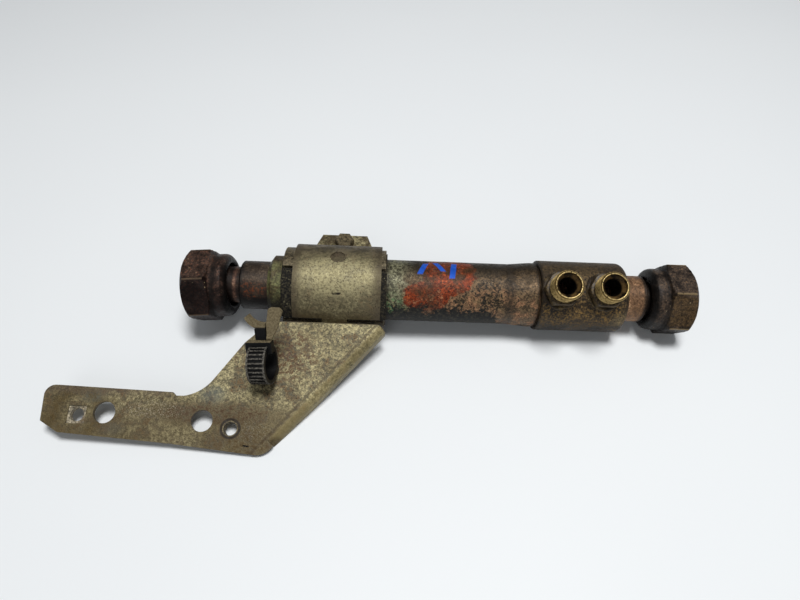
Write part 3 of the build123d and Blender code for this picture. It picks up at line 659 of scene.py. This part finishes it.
def circle(steps):
    """Evenly spaced angles once round."""
    return [2 * math.pi * k / steps for k in range(steps)]


def wear(x, y, z, size=3.0, depth=0.07):
    """Signed roughness of an old surface, in millimetres."""
    return depth * noise.noise(Vector((x, y, z)) / size)


def hex_limit(turn, apothem):
    """Distance from the axis to a hexagon's side, flats square to 90 degrees."""
    part = (turn - math.pi / 6) % (math.pi / 3)
    return apothem / math.cos(part if part < math.pi / 6 else part - math.pi / 3)


def tooth(along, pitch, depth):
    """Height of a sixty-degree thread's flank, flattened at crest and root."""
    t = along / pitch % 1.0
    saw = abs(2 * t - 1) * 1.5 - 0.25
    return depth * min(1.0, max(0.0, saw))


def nut_rows(place, steps=192):
    """Union nut, mouth at the origin and body along -X: outside, then back through the bore."""
    rows = []
    outside = [(0, 17.6), (-0.35, 18.5), (-1.0, 19.4), (-1.9, 20.4), (-2.7, 21.2), (-4, 21.2),
               (-6, 21.2), (-8, 21.2), (-10, 21.2), (-12, 21.2), (-13.5, 21.2), (-14.1, 20.2),
               (-14.7, 19.1), (-15.03, 18.0), (-15.5, 17.55), (-16.8, 17.55), (-18.6, 17.55),
               (-20.4, 17.5), (-21.6, 17.2), (-22.6, 16.4), (-23.5, 15.2), (-23.9, 14.3),
               (-24, 13.6), (-23.9, 13.0), (-23.4, 12.5),
               (-22.6, 12.3), (-21.4, 12.3), (-20.55, 12.35), (-20.5, 13.4), (-20.5, 14.6),
               (-20.2, 14.8), (-17, 14.8), (-13.5, 14.8), (-10.4, 14.8), (-10.1, 14.3)]
    hex_end, apothem = -15.1, 18.45
    for x, limit in outside:
        row = []
        for turn in circle(steps):
            r = min(limit, hex_limit(turn, apothem)) if x > hex_end else limit
            r -= 0.05 + wear(x, r * math.cos(turn), r * math.sin(turn))
            row.append(place @ Vector((x, r * math.cos(turn), r * math.sin(turn))) * MM)
        rows.append(row)
    # the thread's rings, from its inner end to the mouth, which flares
    pitch, per_turn, length = 2.0, 10, 10.0
    crest_radius, depth, run_out, flare = 13.95, 0.75, 0.8, 0.5
    for i in range(int(length / pitch) * per_turn + 1):
        x = -length + i * pitch / per_turn
        fade = max(0.0, min(1.0, (x + length) / run_out, max(0.0, -x) / run_out))
        row = []
        for k, turn in enumerate(circle(steps)):
            r = crest_radius + depth * fade - tooth(x + pitch * k / steps, pitch, depth) * fade
            r += flare * max(0.0, 1 + x / 0.7)
            row.append(place @ Vector((x, r * math.cos(turn), r * math.sin(turn))) * MM)
        rows.append(row)
    return rows


inlet_nut_place = Matrix.Translation((
    INLET_NUT_BACK[0] - NUT_LENGTH * math.cos(INLET_NUT_TILT), 0,
    INLET_NUT_BACK[2] - NUT_LENGTH * math.sin(INLET_NUT_TILT))) @ \
    Matrix.Rotation(-INLET_NUT_TILT, 4, "Y") @ Matrix.Rotation(math.pi, 4, "Z")
grid("outlet_nut_worn", nut_rows(Matrix.Identity(4)), "outlet_nut", nut_right,
     ["outlet_union_nut"])
grid("inlet_nut_worn", nut_rows(inlet_nut_place), "inlet_nut", nut_left,
     ["inlet_union_nut"])


def union_rows(place, steps=96):
    """Threaded union along +Z from the tube's axis: foot, neck, thread, seat and bore."""
    rows = []

    def ring(h, radius_at):
        row = []
        for turn in circle(steps):
            r = radius_at(turn)
            row.append(place @ Vector((r * math.cos(turn), r * math.sin(turn), h)) * MM)
        rows.append(row)

    for h, limit in ((17.3, 9.95), (19.5, 9.95), (22.0, 9.95), (23.4, 9.9), (24.0, 9.6),
                     (24.4, 9.1), (24.6, 8.3)):
        ring(h, lambda turn, limit=limit: min(limit, hex_limit(turn, 8.72)))
    for h, r in ((24.62, 7.4), (24.8, 6.95), (25.6, 6.9), (26.0, 7.0)):
        ring(h, lambda turn, r=r: r)
    pitch, bottom, top, rings, run_out = 1.5, 26.2, 33.0, 45, 0.5
    crest_radius, depth = 7.97, 1.0
    for i in range(rings + 1):
        h = bottom + (top - bottom) * i / rings
        fade = max(0.0, min(1.0, (h - bottom) / run_out, (top - h) / run_out))
        ring(h, lambda turn, h=h, fade=fade: crest_radius - (depth - tooth(
            h + pitch * turn / 2 / math.pi, pitch, depth)) * fade)
    for h, r in ((33.1, 7.85), (33.4, 7.55), (33.7, 7.25), (33.9, 7.05), (33.95, 6.9), (33.9, 6.6),
                 (33.6, 6.5), (32.4, 6.2), (31.2, 5.3), (30.2, 4.5), (29.6, 4.3), (26.0, 4.3),
                 (22.0, 4.3), (18.0, 4.3), (17.4, 4.3), (17.3, 4.6)):
        ring(h, lambda turn, r=r: r)
    return rows


for node, station in zip(("fuel_inlet_union", "fuel_outlet_union"), UNION_STATIONS):
    grid(node + "_threaded", union_rows(Matrix.Translation((station, 0, 0)) @ UNION_LEAN), "cooler",
         brass, [node])

# braze beads round the unions' feet, following the sleeve
FOOT_RADIUS, SLEEVE_RADIUS = 9.3, 19.45
for i, station in enumerate(UNION_STATIONS):
    rows = []
    for turn in circle(120):
        out = FOOT_RADIUS + 0.35 * noise.noise(
            Vector((math.cos(turn) * 2, math.sin(turn) * 2, i * 7.0)))
        across, along = out * math.sin(turn), out * math.cos(turn)
        swell = 1.25 + 0.35 * noise.noise(
            Vector((math.cos(turn) * 3, math.sin(turn) * 3, 4.0 + i)))
        height = math.sqrt(SLEEVE_RADIUS ** 2 - across ** 2)
        ring = []
        for around in circle(10):
            push = swell * math.cos(around)
            ring.append(UNION_LEAN @ Vector((along + push * math.cos(turn),
                                             across + push * math.sin(turn),
                                             height + 0.8 * swell * math.sin(around))))
        rows.append([(v + Vector((station, 0, 0))) * MM for v in ring])
    grid("braze_bead_%d" % i, rows, "cooler", braze)

# raised ring round the spot-weld mark on the clamp shell
WELD_RING_RADIUS = 4.0
rows = []
for turn in circle(72):
    swell = 0.42 + 0.12 * noise.noise(Vector((math.cos(turn) * 2, math.sin(turn) * 2, 1.0)))
    ring = []
    for around in circle(8):
        out = WELD_RING_RADIUS + swell * math.cos(around)
        height = SHELL_RADIUS + 0.7 * swell * math.sin(around)
        climb = math.radians(WELD_MARK[1]) - out * math.sin(turn) / SHELL_RADIUS
        ring.append(Vector((WELD_MARK[0] + out * math.cos(turn), -height * math.cos(climb),
                            height * math.sin(climb))) * MM)
    rows.append(ring)
grid("weld_ring", rows, "cooler", zinc_strap)


# ---- soft edges on the carried-over solids ---------------------------------------------------
for node, width in (("mounting_bracket", 0.35), ("clamp_strap", 0.3), ("arm_clip_nut", 0.25),
                    ("weld_nut", 0.2), ("clip_head", 0.3), ("clip_paddle", 0.35),
                    ("clip_foot", 0.3), ("clip_strap", 0.2), ("clamp_bolt", 0.25),
                    ("clamp_washer", 0.2)):
    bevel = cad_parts[node].modifiers.new("worn_edges", "BEVEL")
    bevel.width = width * MM
    bevel.segments = 2
    bevel.limit_method = "ANGLE"
    bevel.angle_limit = math.radians(40)
    bevel.use_clamp_overlap = True

# ---- floor, light and camera -------------------------------------------------------------------
mesh = bpy.data.meshes.new("floor")
FLOOR_HEIGHT, FLOOR_SLOPE = -18.5, 0.035
corners = [(x, y, FLOOR_HEIGHT + FLOOR_SLOPE * x)
           for x, y in ((-2600, -1600), (2300, -1600), (2300, 2600), (-2600, 2600))]
mesh.from_pydata([Vector(v) * MM for v in corners], [], [(0, 1, 2, 3)])
floor = bpy.data.objects.new("floor", mesh)
bpy.context.scene.collection.objects.link(floor)
paper = Coat("pale_floor")
paper_color = paper.mix(paper.noise(300, 2), rgb(232, 235, 237), rgb(238, 241, 242))
dress(floor, paper.finish(paper_color, 0.55))

world = bpy.context.scene.world or bpy.data.worlds.new("studio")
bpy.context.scene.world = world
world.use_nodes = True
background = world.node_tree.nodes["Background"]
background.inputs["Color"].default_value = (0.93, 0.96, 1.0, 1)
background.inputs["Strength"].default_value = 0.14


def lamp(name, place, target, size, power):
    """Square soft light, size in metres and power in watts, aimed at a target."""
    light = bpy.data.lights.new(name, "AREA")
    light.size = size
    light.energy = power
    made = bpy.data.objects.new(name, light)
    made.location = place
    made.rotation_euler = (Vector(target) - Vector(place)).to_track_quat("-Z", "Y").to_euler()
    bpy.context.scene.collection.objects.link(made)


middle = Vector((-0.17, 0, 0))
lamp("key_softbox", middle + Vector((0.12, -0.10, 1.55)), middle, 0.45, 21.6)
lamp("side_fill", middle + Vector((-0.3, -1.3, 0.9)), middle, 0.8, 3.0)

camera = bpy.data.cameras.new("camera")
camera.sensor_width = 36.0
camera.lens = 26.33
camera.clip_start = 0.01
view = bpy.data.objects.new("camera", camera)
right, up, ahead = (Vector(v) for v in ((0.99899, 0.01065, 0.04361), (-0.03571, 0.77707, 0.62840),
                                        (0.02719, 0.62932, -0.77667)))
view.matrix_world = Matrix.Translation(Vector((-171.5, -213.3, 254.4)) * MM) @ \
    Matrix((right, up, -ahead)).transposed().to_4x4()
bpy.context.scene.collection.objects.link(view)
bpy.context.scene.camera = view
bpy.context.scene.view_settings.view_transform = "Standard"
